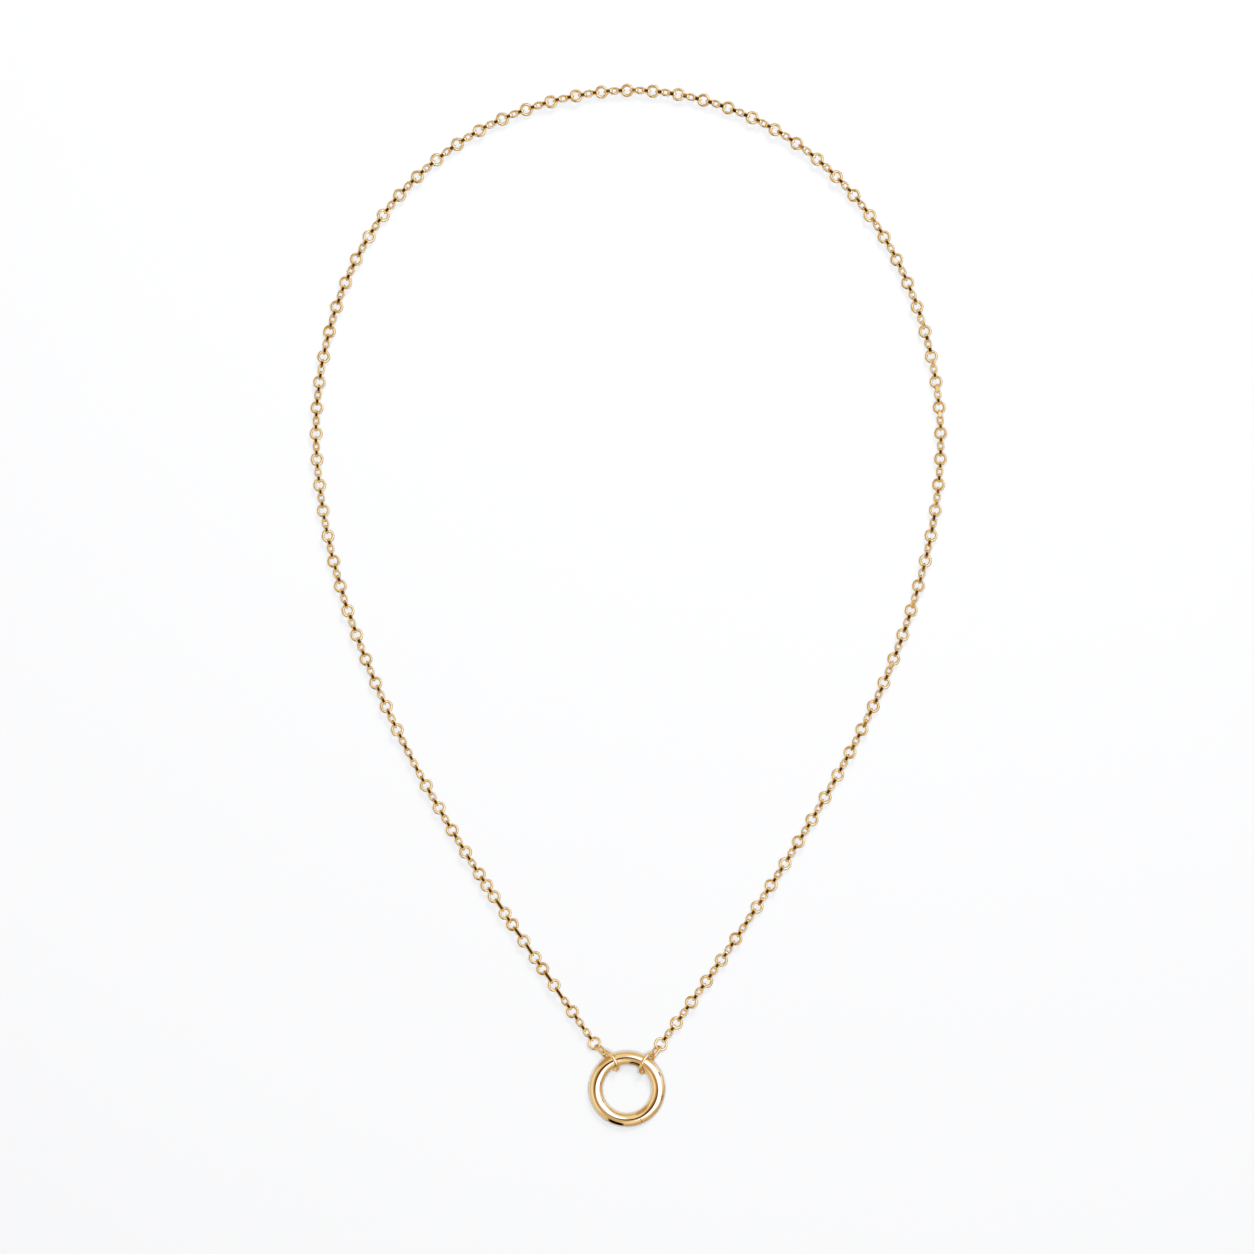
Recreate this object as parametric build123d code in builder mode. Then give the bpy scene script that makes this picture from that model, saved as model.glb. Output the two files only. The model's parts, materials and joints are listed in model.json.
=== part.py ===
# Open circle pendant on a fine rolo chain, laid flat on a surface.
# Millimetres. X to the right, Y towards the top of the neck loop, Z up, the surface at Z = 0.
# The origin is on the surface, in the middle of the necklace's outline seen from above.

import math
import os

from build123d import *

# Pendant ring: a plain closed ring of round tube
ring_outer_diameter = 14.2
ring_tube_diameter = 2.5
ring_centre_x = -0.3
ring_centre_y = -90.3

# Jump rings: closed rings of round wire, one at each end of the chain
jump_ring_outer_diameter = 4.8
jump_ring_wire = 0.58

# End links: small oval links between a jump ring and the chain
end_link_length = 2.95
end_link_width = 1.76
end_link_wire = 0.42

# Round links: the chain's large links
round_link_outer_diameter = 2.55
round_link_wire = 0.42

# Chain: the width that its links take up
chain_diameter = 2.0

# Clearances
seat_clearance = 0.12  # between a jump ring and the pendant's tube
link_clearance = 0.09  # between two links that hold each other
chain_gap = 0.15  # between a round link and the chain's end

# Angles in degrees
seat_angle = 25  # how far below level the pendant's tube sits in a jump ring
hang_angle = 20  # how far below level an end link hangs on a jump ring
link_slope = 25  # fall of an end link towards the chain
round_link_slope = 15  # fall of a round link towards the chain
link_roll = 37  # turn of an end link about its own length
quarter_turn = 90  # from an azimuth to the one square to it, and from level to upright

# Each side of the pendant: where the jump ring crosses it, which way the jump ring, the end link and the
# round link point, and how far the jump ring leans. Azimuths run anticlockwise from +X seen from above.
# The lean goes to the right of its azimuth on the left side (-1) and to the left on the right side (+1).
sides = {
    "left": {"crossing": 120, "ring": 124.5, "link": 137, "round": 136.5, "lean": 19, "towards": -1},
    "right": {"crossing": 52, "ring": 60, "link": 52, "round": 52, "lean": 22, "towards": 1},
}

# The chain's route seen from above, from its left end over the top to its right end
chain_route = [
    (-15.0, -69.5),
    (-24.2, -56.0),
    (-33.1, -42.0),
    (-41.0, -28.0),
    (-47.6, -14.0),
    (-53.4, 1.3),
    (-57.0, 16.3),
    (-58.7, 31.8),
    (-57.1, 47.2),
    (-52.4, 62.1),
    (-44.2, 75.6),
    (-31.0, 87.3),
    (-15.8, 94.0),
    (0.8, 96.6),
    (16.8, 93.9),
    (31.3, 86.8),
    (43.3, 75.7),
    (51.5, 62.4),
    (56.7, 47.2),
    (58.7, 31.4),
    (57.2, 15.3),
    (53.2, -0.3),
    (47.5, -15.5),
    (39.9, -30.5),
    (31.5, -44.8),
    (22.4, -58.9),
    (14.0, -71.2),
]
route_split = 14  # the run before this point is shared by the chain's two halves
arc_share = 0.45  # how much of the shorter run an arc of the route takes up

ring_tube_radius = ring_tube_diameter / 2
ring_radius = (ring_outer_diameter - ring_tube_diameter) / 2
jump_wire_radius = jump_ring_wire / 2
jump_ring_radius = (jump_ring_outer_diameter - jump_ring_wire) / 2
round_wire_radius = round_link_wire / 2
round_link_radius = (round_link_outer_diameter - round_link_wire) / 2
# From an end link's middle to the wire that its inner end holds, less that wire's radius
end_link_reach = end_link_length / 2 - end_link_wire - link_clearance

up = Vector(0, 0, 1)


def level(azimuth):
    """A level direction."""
    return Vector(math.cos(math.radians(azimuth)), math.sin(math.radians(azimuth)), 0)


def falling(azimuth, slope):
    """A direction that falls below level by the slope."""
    return level(azimuth) * math.cos(math.radians(slope)) - up * math.sin(math.radians(slope))


def polar(first, second, angle):
    """The direction at an angle from the first of two square directions towards the second."""
    return first * math.cos(math.radians(angle)) + second * math.sin(math.radians(angle))


def wire_ring(centre, outward, normal, radius, wire_radius):
    """A closed ring of round wire about a normal."""
    with BuildPart() as ring:
        with BuildSketch(Plane(origin=centre, x_dir=outward, z_dir=outward.cross(normal))):
            with Locations((radius, 0)):
                Circle(wire_radius)
        revolve(axis=Axis(centre, normal), revolution_arc=360)
    return ring.part


def oval_link(centre, along, normal, length, width, wire):
    """A closed oval link of round wire with half-round ends and straight sides."""
    end_radius = (width - wire) / 2
    straight = length - width
    with BuildPart() as link:
        with BuildLine(Plane(origin=centre, x_dir=along, z_dir=normal)) as middle:
            Line((-straight / 2, -end_radius), (straight / 2, -end_radius))
            CenterArc((straight / 2, 0), end_radius, -90, 180)
            Line((straight / 2, end_radius), (-straight / 2, end_radius))
            CenterArc((-straight / 2, 0), end_radius, 90, 180)
        start = middle.edges()[0]
        with BuildSketch(Plane(origin=start @ 0, x_dir=normal, z_dir=start % 0)):
            Circle(wire / 2)
        sweep(path=middle.wires()[0])
    return link.part


def corner_radii(spots):
    """The radius of the tangent arc at each inner point of a route."""
    runs = [after - before for before, after in zip(spots, spots[1:])]
    radii = []
    for before, after in zip(runs, runs[1:]):
        half_turn = math.radians(before.get_angle(after)) / 2
        radii.append(arc_share * min(before.length, after.length) / math.tan(half_turn))
    return radii


def chain_tube(spots, radii):
    """A round tube along straight runs joined by tangent arcs."""
    with BuildPart() as tube:
        with BuildLine() as middle:
            FilletPolyline(*spots, radius=radii)
        path = middle.wires()[0]
        with BuildSketch(Plane(origin=path @ 0, z_dir=path % 0)):
            Circle(chain_diameter / 2)
        sweep(path=path)
    section = math.pi * (chain_diameter / 2) ** 2
    print("arc radii", [round(radius, 1) for radius in radii])
    print("length", round(path.length, 2), "volume", round(tube.part.volume, 3))
    print("section times length", round(section * path.length, 3))
    return tube.part


# The pendant lies on the surface at its far side and on both jump rings at its near side, so it is tilted.
# Each jump ring stands on the surface, and its lean sets how high it holds the tube. A jump ring that leans
# or stands askew has its wire further off the tube's middle, and what room is left inside the ring is how
# far its own middle is drawn off the tube's.
ring_tilt = 0
for side in sides.values():
    lean = math.radians(side["lean"])
    skew = math.radians(side["ring"] - side["crossing"])
    kept_off = (ring_tube_radius + jump_wire_radius) / (math.cos(lean) * math.cos(skew))
    side["pull"] = jump_ring_radius - kept_off - seat_clearance
    seat_drop = side["pull"] * math.sin(math.radians(seat_angle))
    tube_height = (jump_ring_radius - seat_drop) * math.cos(lean) + jump_wire_radius
    reach = ring_radius * (1 + math.sin(math.radians(side["crossing"])))
    ring_tilt = max(ring_tilt, math.degrees(math.asin((tube_height - ring_tube_radius) / reach)))
ring_y_axis = polar(Vector(0, 1, 0), up, ring_tilt)
ring_normal = Vector(1, 0, 0).cross(ring_y_axis)
ring_centre = Vector(
    ring_centre_x,
    ring_centre_y,
    ring_tube_radius + ring_radius * math.sin(math.radians(ring_tilt)),
)

parts = {
    "pendant_ring": wire_ring(ring_centre, Vector(1, 0, 0), ring_normal, ring_radius, ring_tube_radius),
}

# At each side the jump ring goes round the pendant's tube, the end link through the jump ring, and the
# round link through the end link. The chain begins just past the round link.
chain_ends = {}
for name, side in sides.items():
    crossing = ring_centre + polar(Vector(1, 0, 0), ring_y_axis, side["crossing"]) * ring_radius
    outward = level(side["ring"])
    rise = polar(up, level(side["ring"] + side["towards"] * quarter_turn), side["lean"])
    jump_centre = crossing + polar(outward, rise, seat_angle) * side["pull"]
    parts["jump_ring_" + name] = wire_ring(
        jump_centre, outward, outward.cross(rise), jump_ring_radius, jump_wire_radius
    )

    held_wire = jump_centre + polar(outward, rise, -hang_angle) * jump_ring_radius
    along = falling(side["link"], link_slope)
    across = level(side["link"] + side["towards"] * quarter_turn)
    above = falling(side["link"], link_slope - quarter_turn)
    end_centre = held_wire + along * (end_link_reach - jump_wire_radius)
    parts["end_link_" + name] = oval_link(
        end_centre, along, polar(across, above, link_roll), end_link_length, end_link_width, end_link_wire
    )

    near_wire = end_centre + along * (end_link_reach - round_wire_radius)
    lengthwise = falling(side["round"], round_link_slope)
    round_centre = near_wire + lengthwise * round_link_radius
    parts["round_link_" + name] = wire_ring(
        round_centre,
        lengthwise,
        falling(side["round"], round_link_slope - quarter_turn),
        round_link_radius,
        round_wire_radius,
    )

    next_x, next_y = chain_route[0] if name == "left" else chain_route[-1]
    onward = Vector(next_x - round_centre.X, next_y - round_centre.Y, 0).normalized()
    spot = round_centre + onward * (round_link_outer_diameter / 2 + chain_gap)
    chain_ends[name] = (spot.X, spot.Y)

# The two halves of the chain lie on the surface and meet in the middle of the run at the top
whole_route = [chain_ends["left"]] + chain_route + [chain_ends["right"]]
spots = [Vector(x, y, chain_diameter / 2) for x, y in whole_route]
radii = corner_radii(spots)
meeting = (spots[route_split - 1] + spots[route_split]) / 2
parts["chain_left"] = chain_tube(spots[:route_split] + [meeting], radii[: route_split - 1])
parts["chain_right"] = chain_tube([meeting] + spots[route_split:], radii[route_split - 1 :])

os.makedirs("parts", exist_ok=True)
for name, part in parts.items():
    part.label = name
    export_step(part, "parts/" + name + ".step")
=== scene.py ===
"""Looks for an open circle pendant on a fine link chain: polished gold, real links and a pale studio.

Lengths are in metres. X runs to the right, Y towards the top of the neck loop and Z up.
"""

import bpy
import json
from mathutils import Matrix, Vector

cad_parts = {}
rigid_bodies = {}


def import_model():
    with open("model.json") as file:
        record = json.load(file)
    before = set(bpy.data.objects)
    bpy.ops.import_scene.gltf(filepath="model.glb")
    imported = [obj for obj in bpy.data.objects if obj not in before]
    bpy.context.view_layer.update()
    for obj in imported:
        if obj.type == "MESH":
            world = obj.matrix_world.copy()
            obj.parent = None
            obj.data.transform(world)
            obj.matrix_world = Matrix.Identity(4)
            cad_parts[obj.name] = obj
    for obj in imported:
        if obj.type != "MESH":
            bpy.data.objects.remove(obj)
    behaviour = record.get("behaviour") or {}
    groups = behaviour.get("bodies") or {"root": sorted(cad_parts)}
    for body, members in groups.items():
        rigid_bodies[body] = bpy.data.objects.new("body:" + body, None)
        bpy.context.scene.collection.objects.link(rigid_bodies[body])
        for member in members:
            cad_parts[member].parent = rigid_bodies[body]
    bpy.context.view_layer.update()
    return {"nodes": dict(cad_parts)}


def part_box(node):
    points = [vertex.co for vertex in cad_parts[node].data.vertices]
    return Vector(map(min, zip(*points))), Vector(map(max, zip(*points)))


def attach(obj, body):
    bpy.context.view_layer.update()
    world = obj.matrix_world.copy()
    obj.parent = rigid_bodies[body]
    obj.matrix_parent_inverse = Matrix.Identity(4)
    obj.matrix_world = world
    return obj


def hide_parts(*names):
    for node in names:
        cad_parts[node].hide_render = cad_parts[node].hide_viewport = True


bl_info = {
    "name": "Open circle pendant",
    "version": (1, 0, 0),
    "blender": (4, 5, 0),
    "location": "View3D > Sidebar > Necklace",
    "description": "Polishes the necklace's rings, links its chain and lights it on a pale table",
    "category": "Add Mesh",
}

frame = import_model()

import json
import math
import random
from bisect import bisect_left
from collections import namedtuple

import bmesh
import bpy
from bpy.props import FloatProperty, FloatVectorProperty, IntProperty, PointerProperty
from bpy.types import Operator, Panel, PropertyGroup
from mathutils import Euler, Matrix, Vector

MM = 0.001
BODY = "root"
RING_TUBE = 2.5 * MM  # thickness of the pendant ring's tube

# The chain's route seen from above, in millimetres, from its left end over the top to its right end
CHAIN_ROUTE = [
    (-15.0, -69.5),
    (-24.2, -56.0),
    (-33.1, -42.0),
    (-41.0, -28.0),
    (-47.6, -14.0),
    (-53.4, 1.3),
    (-57.0, 16.3),
    (-58.7, 31.8),
    (-57.1, 47.2),
    (-52.4, 62.1),
    (-44.2, 75.6),
    (-31.0, 87.3),
    (-15.8, 94.0),
    (0.8, 96.6),
    (16.8, 93.9),
    (31.3, 86.8),
    (43.3, 75.7),
    (51.5, 62.4),
    (56.7, 47.2),
    (58.7, 31.4),
    (57.2, 15.3),
    (53.2, -0.3),
    (47.5, -15.5),
    (39.9, -30.5),
    (31.5, -44.8),
    (22.4, -58.9),
    (14.0, -71.2),
]

# How the links follow each other between the two round links that hold the pendant's ends.
# R is a round link, U a small upright one, F a small flat one and L a long upright one.
FIRST_LINKS = "UFUFUR UFLR LR UR LR LR UR LR UR UR" + " UFUR" * 4 + " UFUFUFUFUR"
USUAL_LINKS = "UFUR"
LAST_LINKS = "UFUFUR" + " UFUR" * 4 + " UFU"

# How finely the links are made: sides of the wire, and steps round a link
WIRE_SIDES = 6
ROUND_STEPS = 16
SMALL_STEPS = 12

# The flattened wire of an upright link: how wide its inner and outer faces are beside the band's middle, and
# how much narrower the band is at the link's ends
INNER_FACE = 0.32
OUTER_FACE = 0.62
END_TAPER = 0.6

# How far a link turns at random to either side, in degrees: about its own length by its kind, then up or
# down and to the side
ROUND_TURN = 16.0
UPRIGHT_TURN = 3.0
FLAT_TURN = 14.0
PITCH_TURN = 1.5
YAW_TURN = 2.5

# The play between links with which the chain still looks right
LEAST_PLAY = 0.01 * MM
MOST_PLAY = 0.06 * MM

# Patterns of the polish: how many to a metre, where a soft patch begins and is whole, and what patches and
# wear add to the roughness
PATCHES_PER_METRE = 420.0
WEAR_PER_METRE = 2600.0
WAVES_PER_METRE = 300.0
PATCH_EDGE = (0.42, 0.68)
PATCH_ROUGHNESS = 0.035
WEAR_ROUGHNESS = 0.03

# How much of a link's tone is its own, beside the soft patches
TONE_OF_LINKS = 0.6

# The solder seam's colour, strength, roughness and depth, and where it fades in and out on the outer half of
# the pendant ring, measured outwards from the middle of its tube
SEAM_COLOUR = (0.2, 0.1, 0.03)
SEAM_STRENGTH = 0.9
SEAM_ROUGHNESS = 0.2
SEAM_DEPTH = 0.8
SEAM_START = (0.15 * MM, 0.3 * MM)
SEAM_END = (1.1 * MM, 0.95 * MM)

# The lights' sizes and distance in metres, and the key lights' azimuth and elevation in degrees
FILL_SIZE = 0.6
KEY_SIZE = 0.45
LIGHT_DISTANCE = 1.5
HIGH_KEY_DIRECTION = (68, 58)
LOW_KEY_DIRECTION = (76, 31)

# Where the room's brightness changes from above to around and from around to below, as the sine of the
# height over the table's level
AROUND_RISE = (0.5, 0.15)
BELOW_RISE = (-0.05, -0.4)

# The brightness over which the deep tint gives way to the dim one, then to the plain and the bright one
TINT_STEPS = ((0.1, 0.4), (0.3, 1.0), (0.95, 1.35))

# The softbox, reflectors and shades round the table, as the polished metal mirrors them. Angles are in
# degrees: azimuths run anticlockwise from +X, tilt is measured from straight up, and wide and high go from a
# card's middle to its edges. Soft is how far the edge blurs, and level is the card's brightness.
StudioCard = namedtuple("StudioCard", "azimuth tilt wide high soft level")
STUDIO_CARDS = {
    "softbox": StudioCard(azimuth=3, tilt=38, wide=40, high=34, soft=0.15, level=1.46),
    "right reflector": StudioCard(azimuth=-2, tilt=96, wide=36, high=30, soft=0.4, level=1.12),
    "left reflector": StudioCard(azimuth=190, tilt=68, wide=34, high=20, soft=0.5, level=1.02),
    "upper left shade": StudioCard(azimuth=130, tilt=87, wide=16, high=38, soft=0.4, level=0.55),
    "lower right shade": StudioCard(azimuth=305, tilt=126, wide=52, high=46, soft=0.4, level=0.64),
    "lower left shade": StudioCard(azimuth=247, tilt=38, wide=12, high=24, soft=0.5, level=0.68),
    "left shade": StudioCard(azimuth=195, tilt=28, wide=22, high=16, soft=0.4, level=0.47),
    "crest shade": StudioCard(azimuth=195, tilt=7, wide=11, high=14, soft=0.3, level=0.055),
    "black flag": StudioCard(azimuth=254, tilt=92, wide=11, high=32, soft=0.3, level=0.0),
    "right stand": StudioCard(azimuth=18, tilt=88, wide=4, high=12, soft=0.4, level=0.2),
    "lower right stand": StudioCard(azimuth=-21, tilt=90, wide=4, high=12, soft=0.4, level=0.2),
}


class Socket:
    """A node's output that can stand in a Python expression, where each operation adds a Math node."""

    def __init__(self, recipe, link):
        self.recipe = recipe
        self.link = link

    def maths(self, operation, *values):
        """A Math node of these values."""
        return self.recipe.add("ShaderNodeMath", {"operation": operation}, dict(enumerate(values)))

    def __add__(self, other):
        return self.maths("ADD", self, other)

    def __radd__(self, other):
        return self.maths("ADD", other, self)

    def __sub__(self, other):
        return self.maths("SUBTRACT", self, other)

    def __rsub__(self, other):
        return self.maths("SUBTRACT", other, self)

    def __mul__(self, other):
        return self.maths("MULTIPLY", self, other)

    def __rmul__(self, other):
        return self.maths("MULTIPLY", other, self)

    def __truediv__(self, other):
        return self.maths("DIVIDE", self, other)

    def __gt__(self, other):
        return self.maths("GREATER_THAN", self, other)

    def __abs__(self):
        return self.maths("ABSOLUTE", self)

    def root(self):
        return self.maths("SQRT", self)


class Recipe:
    """The nodes of one material or of the world."""

    def __init__(self, tree):
        self.tree = tree
        tree.nodes.clear()

    def add(self, kind, settings=None, inputs=None, output=0):
        """Adds a node: its settings first, then its sockets' values or links. Returns one of its outputs."""
        node = self.tree.nodes.new(kind)
        for name, value in (settings or {}).items():
            setattr(node, name, value)
        for name, value in (inputs or {}).items():
            if isinstance(value, Socket):
                self.tree.links.new(value.link, node.inputs[name])
            else:
                node.inputs[name].default_value = value
        return Socket(self, node.outputs[output]) if node.outputs else None

    def mix(self, factor, first, second):
        """The first colour where the factor is 0 and the second where it is 1."""
        return self.add(
            "ShaderNodeMix",
            {"data_type": "RGBA"},
            {0: factor, 6: first, 7: second},
            output=2,
        )

    def step(self, value, start, end):
        """A smooth step from 0 at the start to 1 at the end."""
        return self.add(
            "ShaderNodeMapRange",
            {"interpolation_type": "SMOOTHSTEP"},
            {"Value": value, "From Min": start, "From Max": end},
        )

    def noise(self, place, scale, detail):
        """A soft random pattern."""
        return self.add(
            "ShaderNodeTexNoise",
            inputs={"Vector": place, "Scale": scale, "Detail": detail},
        )


def rgba(colour):
    """The colour with its alpha, as a shader's sockets take it."""
    return (*colour, 1.0)


class NecklaceMetal(PropertyGroup):
    """The gold and its polish."""

    gold: FloatVectorProperty(
        name="Gold",
        description="Colour of the polished gold",
        subtype="COLOR",
        default=(0.88, 0.62, 0.27),
        min=0.0,
        max=1.0,
    )
    worn_gold: FloatVectorProperty(
        name="Worn gold",
        description="Deeper colour in soft patches of the gold",
        subtype="COLOR",
        default=(0.84, 0.57, 0.235),
        min=0.0,
        max=1.0,
    )
    link_gold: FloatVectorProperty(
        name="Link gold",
        description="Colour of the chain's gold",
        subtype="COLOR",
        default=(0.88, 0.58, 0.19),
        min=0.0,
        max=1.0,
    )
    worn_link_gold: FloatVectorProperty(
        name="Worn link gold",
        description="Deeper colour of the chain's gold, reached from link to link",
        subtype="COLOR",
        default=(0.75, 0.45, 0.115),
        min=0.0,
        max=1.0,
    )
    ring_roughness: FloatProperty(
        name="Ring roughness",
        description="Roughness of the pendant ring where it is polished best",
        default=0.06,
        min=0.0,
        max=1.0,
    )
    link_roughness: FloatProperty(
        name="Link roughness",
        description="Roughness of the links and jump rings where they are polished best",
        default=0.07,
        min=0.0,
        max=1.0,
    )
    waviness: FloatProperty(
        name="Waviness",
        description="Height of the hand-polished surface's soft waves",
        default=0.004 * MM,
        precision=7,
        unit="LENGTH",
    )
    seam_azimuth: FloatProperty(
        name="Seam direction",
        description="Where the pendant ring's fine solder seam lies, anticlockwise from the right",
        default=math.radians(-65.5),
        unit="ROTATION",
    )
    seam_width: FloatProperty(
        name="Seam width",
        description="Width of the fine solder seam",
        default=0.09 * MM,
        precision=6,
        unit="LENGTH",
    )


class NecklaceChain(PropertyGroup):
    """The chain's links."""

    round_width: FloatProperty(
        name="Round link",
        description="Outer diameter of a round link",
        default=2.46 * MM,
        precision=5,
        unit="LENGTH",
    )
    round_wire: FloatProperty(
        name="Round link wire",
        description="Diameter of a round link's wire",
        default=0.54 * MM,
        precision=5,
        unit="LENGTH",
    )
    upright_length: FloatProperty(
        name="Upright link",
        description="Outer length of a small upright link",
        default=1.68 * MM,
        precision=5,
        unit="LENGTH",
    )
    upright_width: FloatProperty(
        name="Upright link height",
        description="Outer width of a small upright link, which is its height on the table",
        default=1.28 * MM,
        precision=5,
        unit="LENGTH",
    )
    upright_wire: FloatProperty(
        name="Upright link thickness",
        description="Thickness of an upright link's flattened wire",
        default=0.24 * MM,
        precision=5,
        unit="LENGTH",
    )
    upright_band: FloatProperty(
        name="Upright link band",
        description="Width of an upright link's flattened wire",
        default=0.72 * MM,
        precision=5,
        unit="LENGTH",
    )
    long_length: FloatProperty(
        name="Long link",
        description="Outer length of a long upright link",
        default=2.9 * MM,
        precision=5,
        unit="LENGTH",
    )
    flat_length: FloatProperty(
        name="Flat link",
        description="Outer length of a small flat link",
        default=1.96 * MM,
        precision=5,
        unit="LENGTH",
    )
    flat_width: FloatProperty(
        name="Flat link width",
        description="Outer width of a small flat link",
        default=1.38 * MM,
        precision=5,
        unit="LENGTH",
    )
    flat_wire: FloatProperty(
        name="Flat link wire",
        description="Diameter of a small flat link's wire",
        default=0.4 * MM,
        precision=5,
        unit="LENGTH",
    )
    play: FloatProperty(
        name="Play",
        description="Clearance between two links that hold each other",
        default=0.03 * MM,
        precision=6,
        unit="LENGTH",
    )
    end_play: FloatProperty(
        name="End play",
        description="Further clearance at the sloping round link at each end",
        default=0.04 * MM,
        precision=6,
        unit="LENGTH",
    )
    lying_height: FloatProperty(
        name="Lying height",
        description="How high the middle of a round or flat link's wire lies on the upright links",
        default=0.66 * MM,
        precision=5,
        unit="LENGTH",
    )
    seed: IntProperty(
        name="Seed",
        description="Seed of the links' small turns",
        default=7,
        min=0,
    )


class NecklaceStudio(PropertyGroup):
    """The camera, the table and the lights."""

    frame_width: FloatProperty(
        name="Frame width",
        description="Width of table that the camera shows",
        default=234.1 * MM,
        precision=4,
        unit="LENGTH",
    )
    frame_centre: FloatVectorProperty(
        name="Frame centre",
        description="Point of the table in the middle of the picture",
        size=2,
        default=(-0.28 * MM, -4.2 * MM),
        precision=5,
        unit="LENGTH",
    )
    lens: FloatProperty(
        name="Lens",
        description="Focal length of the camera in millimetres",
        default=250.0,
    )
    table_colour: FloatVectorProperty(
        name="Table",
        description="Colour of the table's matt surface",
        subtype="COLOR",
        default=(0.8, 0.8, 0.8),
        min=0.0,
        max=1.0,
    )
    table_width: FloatProperty(
        name="Table width",
        description="Width of the table",
        default=12.0,
        unit="LENGTH",
    )
    high_room: FloatProperty(
        name="Room above",
        description="Brightness of the room overhead, as the metal mirrors it",
        default=0.98,
        min=0.0,
    )
    far_room: FloatProperty(
        name="Room around",
        description="Brightness of the room at the level of the table, as the metal mirrors it",
        default=0.72,
        min=0.0,
    )
    low_room: FloatProperty(
        name="Room below",
        description="Brightness below the level of the table, as the metal mirrors it",
        default=0.92,
        min=0.0,
    )
    deep_tint: FloatVectorProperty(
        name="Deep tint",
        description="Tint of what is almost dark in the room",
        subtype="COLOR",
        default=(1.0, 0.38, 0.1),
        min=0.0,
        max=4.0,
    )
    dim_tint: FloatVectorProperty(
        name="Dim tint",
        description="Tint of what is dim in the room",
        subtype="COLOR",
        default=(1.0, 0.7, 0.42),
        min=0.0,
        max=4.0,
    )
    plain_tint: FloatVectorProperty(
        name="Plain tint",
        description="Tint of what is as bright in the room as the table",
        subtype="COLOR",
        default=(1.0, 1.03, 1.12),
        min=0.0,
        max=4.0,
    )
    bright_tint: FloatVectorProperty(
        name="Bright tint",
        description="Tint of the brightest light in the room",
        subtype="COLOR",
        default=(1.0, 1.36, 2.95),
        min=0.0,
        max=4.0,
    )
    fill_light: FloatVectorProperty(
        name="Fill light",
        description="Colour and brightness of the wide light overhead that lights the table",
        subtype="COLOR",
        default=(24.5, 24.6, 24.7),
        min=0.0,
        max=40.0,
    )
    high_key: FloatVectorProperty(
        name="High key light",
        description="Colour and brightness of the light that casts the pendant's soft shadow",
        subtype="COLOR",
        default=(8.4, 8.3, 8.2),
        min=0.0,
        max=40.0,
    )
    low_key: FloatVectorProperty(
        name="Low key light",
        description="Colour and brightness of the lower light that casts the chain's soft shadow",
        subtype="COLOR",
        default=(12.0, 11.9, 11.8),
        min=0.0,
        max=40.0,
    )


def gold_material(name, metal, colours, roughness, tone_of_links=0.0, seam=None):
    """Polished gold with soft waves, fine wear and, on the pendant ring, a solder seam.

    The seam is given by the middle of the ring and the radius to the middle of its tube.
    """
    material = bpy.data.materials.new(name)
    material.use_nodes = True
    recipe = Recipe(material.node_tree)
    place = recipe.add("ShaderNodeTexCoord", output="Object")
    patches = recipe.step(recipe.noise(place, scale=PATCHES_PER_METRE, detail=3.0), *PATCH_EDGE)
    wear = recipe.noise(place, scale=WEAR_PER_METRE, detail=4.0)
    tone = patches * (1 - tone_of_links)
    if tone_of_links:
        tone = tone + recipe.add("ShaderNodeNewGeometry", output="Random Per Island") * tone_of_links
    colour = recipe.mix(tone, rgba(colours[0]), rgba(colours[1]))
    rough = roughness + patches * PATCH_ROUGHNESS + wear * WEAR_ROUGHNESS
    height = recipe.noise(place, scale=WAVES_PER_METRE, detail=1.0)
    if seam:
        centre, radius = seam
        azimuth = metal.seam_azimuth
        outward = (math.cos(azimuth), math.sin(azimuth), 0.0)
        sideways = (-math.sin(azimuth), math.cos(azimuth), 0.0)
        spot = recipe.add("ShaderNodeVectorMath", {"operation": "SUBTRACT"}, {0: place, 1: centre})
        reach = recipe.add(
            "ShaderNodeVectorMath", {"operation": "DOT_PRODUCT"}, {0: spot, 1: outward}, output=1
        )
        offset = recipe.add(
            "ShaderNodeVectorMath", {"operation": "DOT_PRODUCT"}, {0: spot, 1: sideways}, output=1
        )
        line = recipe.step(abs(offset), metal.seam_width, metal.seam_width * 0.5)
        inner_end = recipe.step(reach, *(radius + distance for distance in SEAM_START))
        outer_end = recipe.step(reach, *(radius + distance for distance in SEAM_END))
        groove = line * (inner_end * outer_end)
        colour = recipe.mix(groove * SEAM_STRENGTH, colour, rgba(SEAM_COLOUR))
        rough = rough + groove * SEAM_ROUGHNESS
        height = height - groove * SEAM_DEPTH
    bump = recipe.add(
        "ShaderNodeBump",
        inputs={"Strength": 1.0, "Distance": metal.waviness, "Height": height},
    )
    surface = recipe.add(
        "ShaderNodeBsdfPrincipled",
        inputs={"Base Color": colour, "Roughness": rough, "Metallic": 1.0, "Normal": bump},
    )
    recipe.add("ShaderNodeOutputMaterial", inputs={"Surface": surface})
    return material


def dress(nodes, material):
    """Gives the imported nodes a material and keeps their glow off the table."""
    for name in nodes:
        node = frame["nodes"][name]
        node.data.materials.clear()
        node.data.materials.append(material)
        node.visible_diffuse = False


class NECKLACE_OT_polish_ring(Operator):
    """Polishes the pendant's open circle"""

    bl_idname = "necklace.polish_ring"
    bl_label = "Polish Pendant Ring"

    def execute(self, context):
        metal = context.scene.necklace_metal
        low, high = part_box("pendant_ring")
        radius = (high.x - low.x - RING_TUBE) / 2
        material = gold_material(
            "pendant_gold",
            metal,
            (metal.gold, metal.worn_gold),
            metal.ring_roughness,
            seam=((low + high) / 2, radius),
        )
        dress(["pendant_ring"], material)
        return {"FINISHED"}


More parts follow.
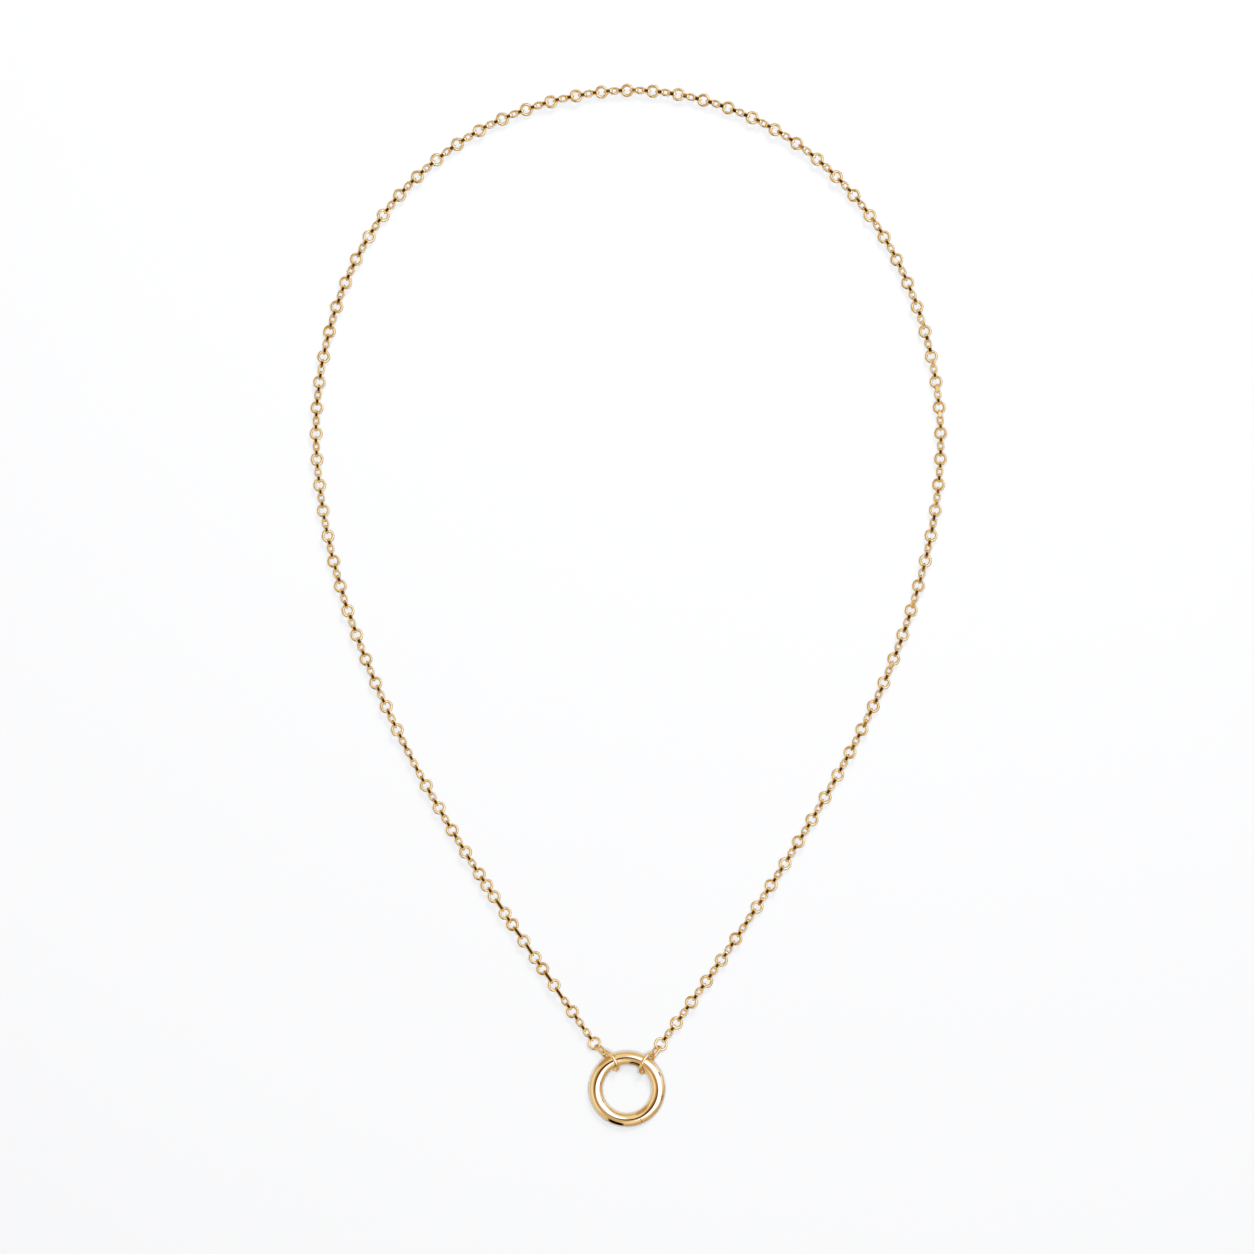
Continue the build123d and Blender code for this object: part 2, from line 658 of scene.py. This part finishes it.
class NECKLACE_OT_polish_jump_rings(Operator):
    """Polishes the two jump rings that carry the pendant"""

    bl_idname = "necklace.polish_jump_rings"
    bl_label = "Polish Jump Rings"

    def execute(self, context):
        metal = context.scene.necklace_metal
        material = gold_material(
            "jump_ring_gold", metal, (metal.link_gold, metal.worn_gold), metal.link_roughness
        )
        dress(["jump_ring_left", "jump_ring_right"], material)
        return {"FINISHED"}


class NECKLACE_OT_polish_end_links(Operator):
    """Polishes the end links and the round links that hold them"""

    bl_idname = "necklace.polish_end_links"
    bl_label = "Polish End Links"

    def execute(self, context):
        metal = context.scene.necklace_metal
        material = gold_material(
            "end_link_gold", metal, (metal.link_gold, metal.worn_link_gold), metal.link_roughness
        )
        dress(["end_link_left", "end_link_right", "round_link_left", "round_link_right"], material)
        return {"FINISHED"}


def make_link(length, width, wire, steps, band=None):
    """The mesh of one closed link that lies flat, its length along X.

    A link with a band has flattened wire of that width, which narrows towards the ends. Other links are
    ovals of round wire.
    """
    link = bmesh.new()
    middle = (width - wire) / 2 / math.cos(math.pi / steps)
    bmesh.ops.create_circle(link, cap_ends=False, segments=WIRE_SIDES, radius=0.5)
    for vert in link.verts:
        outward, across = vert.co.x, vert.co.y
        if band:
            # Two of the six corners are on the band's edges, and two on each of its faces
            on_edge = abs(outward) < 0.1
            face = INNER_FACE if outward < 0 else OUTER_FACE
            across = math.copysign(0.5, across) * (1.0 if on_edge else face)
            outward = 0.0 if on_edge else math.copysign(0.5, outward)
        vert.co = (0.0, middle + outward * wire, across * (band or wire))
    bmesh.ops.rotate(
        link,
        verts=link.verts[:],
        cent=(0, 0, 0),
        matrix=Matrix.Rotation(math.pi / steps, 3, "Z"),
    )
    bmesh.ops.spin(
        link,
        geom=link.verts[:] + link.edges[:],
        cent=(0, 0, 0),
        axis=(0, 0, 1),
        angle=math.tau,
        steps=steps,
        use_merge=True,
        use_duplicate=False,
    )
    for vert in link.verts:
        lengthwise = abs(vert.co.x) / math.hypot(vert.co.x, vert.co.y)
        stretch = (length - width) / 2
        if band:
            vert.co.z *= 1 - END_TAPER * lengthwise * lengthwise
        else:
            stretch *= math.sqrt(lengthwise)
        vert.co.x += math.copysign(stretch, vert.co.x)
    bmesh.ops.recalc_face_normals(link, faces=link.faces[:])
    for face in link.faces:
        face.smooth = not band
    mesh = bpy.data.meshes.new("link")
    link.to_mesh(mesh)
    link.free()
    return mesh


class RouteLine:
    """The chain's line on the table, a smooth curve by its route's points, read by the length along it."""

    def __init__(self, spots):
        curve = bpy.data.curves.new("chain_route", "CURVE")
        curve.dimensions = "3D"
        spline = curve.splines.new("NURBS")
        spline.points.add(len(spots) - 1)
        for point, spot in zip(spline.points, spots):
            point.co = (spot.x, spot.y, 0.0, 1.0)
        spline.order_u = 3
        spline.use_endpoint_u = True
        spline.resolution_u = 32
        carrier = bpy.data.objects.new("chain_route", curve)
        line = bpy.data.meshes.new_from_object(carrier)
        self.points = [vert.co.copy() for vert in line.vertices]
        bpy.data.meshes.remove(line)
        bpy.data.objects.remove(carrier)
        bpy.data.curves.remove(curve)
        self.lengths = [0.0]
        for before, after in zip(self.points, self.points[1:]):
            self.lengths.append(self.lengths[-1] + (after - before).length)

    def at(self, length):
        """The point at this length along the line."""
        after = min(max(bisect_left(self.lengths, length), 1), len(self.points) - 1)
        run = self.lengths[after] - self.lengths[after - 1]
        share = (length - self.lengths[after - 1]) / run
        return self.points[after - 1].lerp(self.points[after], share)

    def direction(self, length, reach):
        """The line's direction between the points that lie this reach before and after a length."""
        return (self.at(length + reach) - self.at(length - reach)).normalized()


class NECKLACE_OT_link_chain(Operator):
    """Links the chain's two halves along their route"""

    bl_idname = "necklace.link_chain"
    bl_label = "Link Chain"

    def execute(self, context):
        chain = context.scene.necklace_chain
        upright = {
            "width": chain.upright_width,
            "wire": chain.upright_wire,
            "turn": UPRIGHT_TURN,
            "height": chain.upright_width / 2 + chain.play,
            "band": chain.upright_band,
        }
        kinds = {
            "R": self.kind_of_link(
                chain.round_width,
                chain.round_width,
                chain.round_wire,
                ROUND_TURN,
                chain.lying_height,
                steps=ROUND_STEPS,
            ),
            "U": self.kind_of_link(chain.upright_length, **upright),
            "L": self.kind_of_link(chain.long_length, **upright),
            "F": self.kind_of_link(
                chain.flat_length, chain.flat_width, chain.flat_wire, FLAT_TURN, chain.lying_height
            ),
        }
        ends = [sum(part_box(name), Vector()) / 2 for name in ("round_link_left", "round_link_right")]
        route = [Vector((x * MM, y * MM, 0)) for x, y in CHAIN_ROUTE]
        line = RouteLine([ends[0], *route, ends[1]])
        links, play = self.sequence(kinds, chain, line.lengths[-1])
        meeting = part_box("chain_left")[1].x
        draw = random.Random(chain.seed)
        halves = {"left": bmesh.new(), "right": bmesh.new()}
        reach = kinds["R"]["hole"] / 2 + chain.end_play
        half = "left"
        for letter in links:
            kind = kinds[letter]
            reach += kind["hole"] / 2 - play
            centre = line.at(reach)
            along = line.direction(reach, kind["hole"] / 2)
            if centre.x >= meeting:
                half = "right"
            roll = math.radians(kind["roll"] + draw.uniform(-1, 1) * kind["turn"])
            pitch = math.radians(draw.uniform(-PITCH_TURN, PITCH_TURN))
            yaw = math.radians(draw.uniform(-YAW_TURN, YAW_TURN))
            place = (
                Matrix.Translation((centre.x, centre.y, kind["height"]))
                @ Matrix.Rotation(math.atan2(along.y, along.x) + yaw, 4, "Z")
                @ Matrix.Rotation(pitch, 4, "Y")
                @ Matrix.Rotation(roll, 4, "X")
            )
            start = len(halves[half].verts)
            halves[half].from_mesh(kind["mesh"])
            halves[half].verts.ensure_lookup_table()
            bmesh.ops.transform(halves[half], matrix=place, verts=halves[half].verts[start:])
            reach += kind["hole"] / 2
        for kind in kinds.values():
            bpy.data.meshes.remove(kind["mesh"])
        metal = context.scene.necklace_metal
        material = gold_material(
            "chain_gold",
            metal,
            (metal.link_gold, metal.worn_link_gold),
            metal.link_roughness,
            tone_of_links=TONE_OF_LINKS,
        )
        for side, links_of_half in halves.items():
            mesh = bpy.data.meshes.new("chain_links_" + side)
            links_of_half.to_mesh(mesh)
            links_of_half.free()
            mesh.materials.append(material)
            piece = bpy.data.objects.new("chain_links_" + side, mesh)
            context.scene.collection.objects.link(piece)
            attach(piece, BODY)
            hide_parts("chain_" + side)
            piece.visible_diffuse = False
        return {"FINISHED"}

    def kind_of_link(self, length, width, wire, turn, height, band=None, steps=SMALL_STEPS):
        """A kind of link: its mesh, the length of its hole, and how it lies. One with a band is upright."""
        return {
            "mesh": make_link(length, width, wire, steps, band),
            "hole": length - 2 * wire,
            "roll": 90.0 if band else 0.0,
            "turn": turn,
            "height": height,
        }

    def sequence(self, kinds, chain, length):
        """The links' letters in order, and the play at each joint that makes them fill the length."""

        def span(letters):
            return sum(kinds[letter]["hole"] - chain.play for letter in letters)

        first = FIRST_LINKS.replace(" ", "")
        last = LAST_LINKS.replace(" ", "")
        free = length - kinds["R"]["hole"] - 2 * chain.end_play
        repeats = round((free - span(first) - span(last) + chain.play) / span(USUAL_LINKS))
        if repeats < 1:
            raise RuntimeError("The chain's route is too short for its links")
        links = first + USUAL_LINKS * repeats + last
        holes = sum(kinds[letter]["hole"] for letter in links)
        play = (holes - free) / (len(links) + 1)
        if not LEAST_PLAY < play < MOST_PLAY:
            raise RuntimeError("The links don't fit the chain's route")
        return links, play


class NECKLACE_OT_set_stage(Operator):
    """Sets the table, the lights, the room and the camera"""

    bl_idname = "necklace.set_stage"
    bl_label = "Set Stage"

    def execute(self, context):
        studio = context.scene.necklace_studio
        context.scene.view_settings.view_transform = "Standard"
        self.table(context, studio)
        self.lights(context, studio)
        self.room(context, studio)
        self.camera(context, studio)
        return {"FINISHED"}

    def table(self, context, studio):
        """The plain pale table."""
        top = bmesh.new()
        bmesh.ops.create_grid(top, x_segments=1, y_segments=1, size=studio.table_width / 2)
        mesh = bpy.data.meshes.new("table")
        top.to_mesh(mesh)
        top.free()
        material = bpy.data.materials.new("table_surface")
        material.use_nodes = True
        recipe = Recipe(material.node_tree)
        surface = recipe.add(
            "ShaderNodeBsdfPrincipled",
            inputs={
                "Base Color": rgba(studio.table_colour),
                "Roughness": 0.85,
                "Specular IOR Level": 0.2,
            },
        )
        recipe.add("ShaderNodeOutputMaterial", inputs={"Surface": surface})
        mesh.materials.append(material)
        table = bpy.data.objects.new("table", mesh)
        context.scene.collection.objects.link(table)
        table.visible_glossy = False

    def soft_light(self, context, name, colour, size, place):
        """A round light of that colour and brightness, turned to the origin. The metal doesn't mirror it."""
        light = bpy.data.lights.new(name, "AREA")
        light.shape = "ELLIPSE"
        light.size = size
        light.size_y = size
        brightest = max(colour)
        light.color = [channel / brightest for channel in colour]
        light.energy = brightest * math.pi * math.pi / 4 * size * size
        lamp = bpy.data.objects.new(name, light)
        lamp.location = place
        lamp.rotation_euler = (Vector() - place).to_track_quat("-Z", "Y").to_euler()
        lamp.visible_glossy = False
        context.scene.collection.objects.link(lamp)
        return lamp

    def lights(self, context, studio):
        """The fill and key lights light the table, and what the metal mirrors is the room.

        The high key casts only the shadow of the pendant and its rings, and the low key only the chain's.
        """
        nodes = frame["nodes"]
        pendant = [nodes[name] for name in nodes if not name.startswith("chain_")]
        chain = [piece for piece in context.scene.objects if piece.name.startswith("chain_links_")]
        overhead = Vector((0, 0, LIGHT_DISTANCE))
        self.soft_light(context, "fill_light", studio.fill_light, FILL_SIZE, overhead)
        for name, colour, direction, casters in (
            ("high_key", studio.high_key, HIGH_KEY_DIRECTION, pendant),
            ("low_key", studio.low_key, LOW_KEY_DIRECTION, chain),
        ):
            azimuth, elevation = (math.radians(angle) for angle in direction)
            place = Vector((LIGHT_DISTANCE, 0, 0))
            place.rotate(Euler((0, -elevation, azimuth)))
            key = self.soft_light(context, name, colour, KEY_SIZE, place)
            shadow = bpy.data.collections.new(name + "_shadow")
            for piece in casters:
                shadow.objects.link(piece)
            key.light_linking.blocker_collection = shadow

    def room(self, context, studio):
        """The studio round the table. Only mirrors see it, and it doesn't light the table."""
        world = bpy.data.worlds.new("room")
        context.scene.world = world
        world.cycles_visibility.diffuse = False
        world.use_nodes = True
        recipe = Recipe(world.node_tree)
        towards = recipe.add("ShaderNodeTexCoord", output="Generated")

        def along(axis):
            """How far the view towards the room goes along an axis."""
            return recipe.add(
                "ShaderNodeVectorMath", {"operation": "DOT_PRODUCT"}, {0: towards, 1: axis}, output=1
            )

        rise = along(Vector((0, 0, 1)))
        around = recipe.step(rise, *AROUND_RISE)
        below = recipe.step(rise, *BELOW_RISE)
        level = studio.high_room + around * (studio.far_room - studio.high_room)
        level = level + below * (studio.low_room - studio.far_room)
        for card in STUDIO_CARDS.values():
            azimuth = math.radians(card.azimuth)
            tilt = math.radians(card.tilt)
            outward = Vector((math.cos(azimuth), math.sin(azimuth), 0))
            facing = outward * math.sin(tilt) + Vector((0, 0, 1)) * math.cos(tilt)
            sideways = Vector((-outward.y, outward.x, 0))
            wide = along(sideways) / math.sin(math.radians(card.wide))
            high = along(facing.cross(sideways)) / math.sin(math.radians(card.high))
            wide = wide * wide
            high = high * high
            reach = (wide * wide + high * high).root()
            card_here = recipe.step(reach, 1 + card.soft, 1 - card.soft) * (along(facing) > 0.0)
            level = level + card_here * (card.level - level)
        tint = rgba(studio.deep_tint)
        brighter_tints = (studio.dim_tint, studio.plain_tint, studio.bright_tint)
        for tint_step, brighter in zip(TINT_STEPS, brighter_tints):
            tint = recipe.mix(recipe.step(level, *tint_step), tint, rgba(brighter))
        background = recipe.add("ShaderNodeBackground", inputs={"Color": tint, "Strength": level})
        recipe.add("ShaderNodeOutputWorld", inputs={"Surface": background})

    def camera(self, context, studio):
        """The camera straight above the table."""
        data = bpy.data.cameras.new("camera")
        data.lens = studio.lens
        camera = bpy.data.objects.new("camera", data)
        distance = studio.frame_width * data.lens / data.sensor_width
        camera.location = (*studio.frame_centre, distance)
        context.scene.collection.objects.link(camera)
        context.scene.camera = camera


class NECKLACE_PT_sidebar(Panel):
    """Lists the necklace's steps and its settings"""

    bl_label = "Necklace"
    bl_idname = "NECKLACE_PT_sidebar"
    bl_space_type = "VIEW_3D"
    bl_region_type = "UI"
    bl_category = "Necklace"

    def draw(self, context):
        layout = self.layout
        for operator in OPERATORS:
            layout.operator(operator.bl_idname)
        for group in (
            context.scene.necklace_metal,
            context.scene.necklace_chain,
            context.scene.necklace_studio,
        ):
            box = layout.box()
            for name in group.__annotations__:
                box.prop(group, name)


PROPERTY_GROUPS = (NecklaceMetal, NecklaceChain, NecklaceStudio)
OPERATORS = (
    NECKLACE_OT_polish_ring,
    NECKLACE_OT_polish_jump_rings,
    NECKLACE_OT_polish_end_links,
    NECKLACE_OT_link_chain,
    NECKLACE_OT_set_stage,
)


def register():
    for cls in (*PROPERTY_GROUPS, *OPERATORS, NECKLACE_PT_sidebar):
        bpy.utils.register_class(cls)
    bpy.types.Scene.necklace_metal = PointerProperty(type=NecklaceMetal)
    bpy.types.Scene.necklace_chain = PointerProperty(type=NecklaceChain)
    bpy.types.Scene.necklace_studio = PointerProperty(type=NecklaceStudio)


def unregister():
    del bpy.types.Scene.necklace_studio
    del bpy.types.Scene.necklace_chain
    del bpy.types.Scene.necklace_metal
    for cls in (NECKLACE_PT_sidebar, *reversed(OPERATORS), *reversed(PROPERTY_GROUPS)):
        bpy.utils.unregister_class(cls)


def main():
    register()
    bpy.ops.necklace.polish_ring()
    bpy.ops.necklace.polish_jump_rings()
    bpy.ops.necklace.polish_end_links()
    bpy.ops.necklace.link_chain()
    bpy.ops.necklace.set_stage()


if __name__ == "__main__":
    main()
